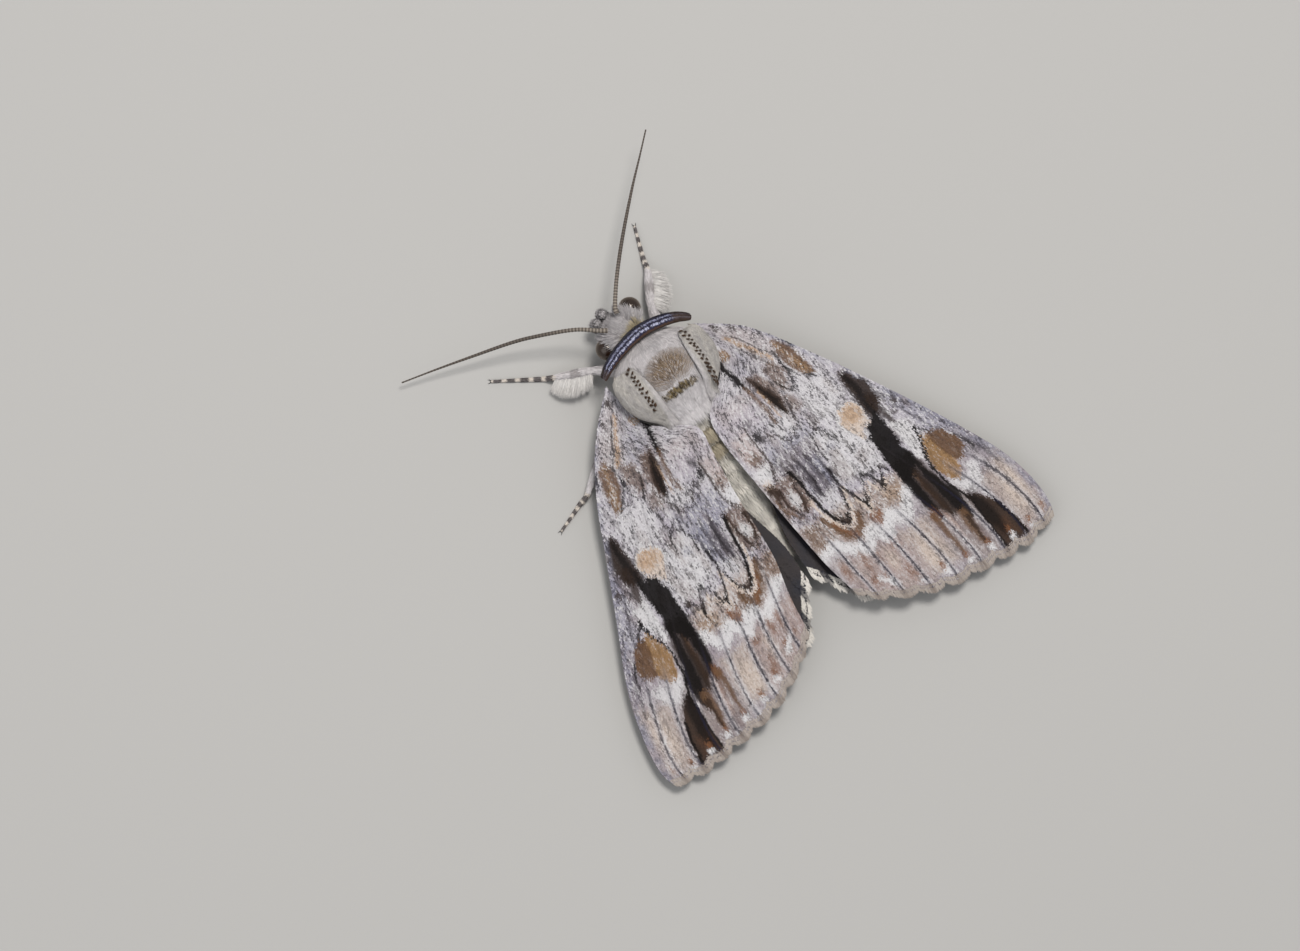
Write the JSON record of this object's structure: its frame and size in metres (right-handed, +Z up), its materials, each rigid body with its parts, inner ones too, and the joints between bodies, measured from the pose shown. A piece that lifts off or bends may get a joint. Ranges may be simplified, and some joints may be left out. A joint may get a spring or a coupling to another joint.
{
  "type": "underwing moth",
  "caption": "Grey underwing moth at rest, head forward, patterned forewings held in a low roof over dark hindwings with a white fringe.",
  "frame": {"origin": "middle of the bounding box's floor, the level that the feet stand on", "axes": "+Z up, +Y towards the tail along the body, +X the moth's own left"},
  "size_m": [0.0492, 0.0578, 0.0086],
  "materials": {
    "forewing": "overlapping wing scales, grey and lilac peppered with black, tan spots, black dash and streaks",
    "hindwing": "blue-black scales with a white fringe",
    "fur": "pale grey hair scales, brownish at the rear of the thorax",
    "collar": "dark violet-black scales with bluish-white lines and a brown edge",
    "eye": "glossy dark brown compound eye",
    "antenna": "dark brown, ringed, paler scales on the back",
    "leg": "grey scales, dark feet with pale bands"
  },
  "bodies": {
    "root": {"eye_left": "eye", "palp_left": "fur", "tegula_left": "fur", "forewing_left": "forewing", "hindwing_left": "hindwing", "antenna_left": "antenna", "foreleg_left_femur": "leg", "foreleg_left_tibia": "leg", "foreleg_left_tarsus": "leg", "midleg_left_femur": "leg", "midleg_left_tibia": "leg", "midleg_left_tarsus": "leg", "hindleg_left_femur": "leg", "hindleg_left_tibia": "leg", "hindleg_left_tarsus": "leg", "eye_right": "eye", "palp_right": "fur", "tegula_right": "fur", "forewing_right": "forewing", "hindwing_right": "hindwing", "antenna_right": "antenna", "foreleg_right_femur": "leg", "foreleg_right_tibia": "leg", "foreleg_right_tarsus": "leg", "midleg_right_femur": "leg", "midleg_right_tibia": "leg", "midleg_right_tarsus": "leg", "hindleg_right_femur": "leg", "hindleg_right_tibia": "leg", "hindleg_right_tarsus": "leg", "thorax": "fur", "abdomen": "fur", "head": "fur", "collar": "collar"}
  },
  "joints": []
}
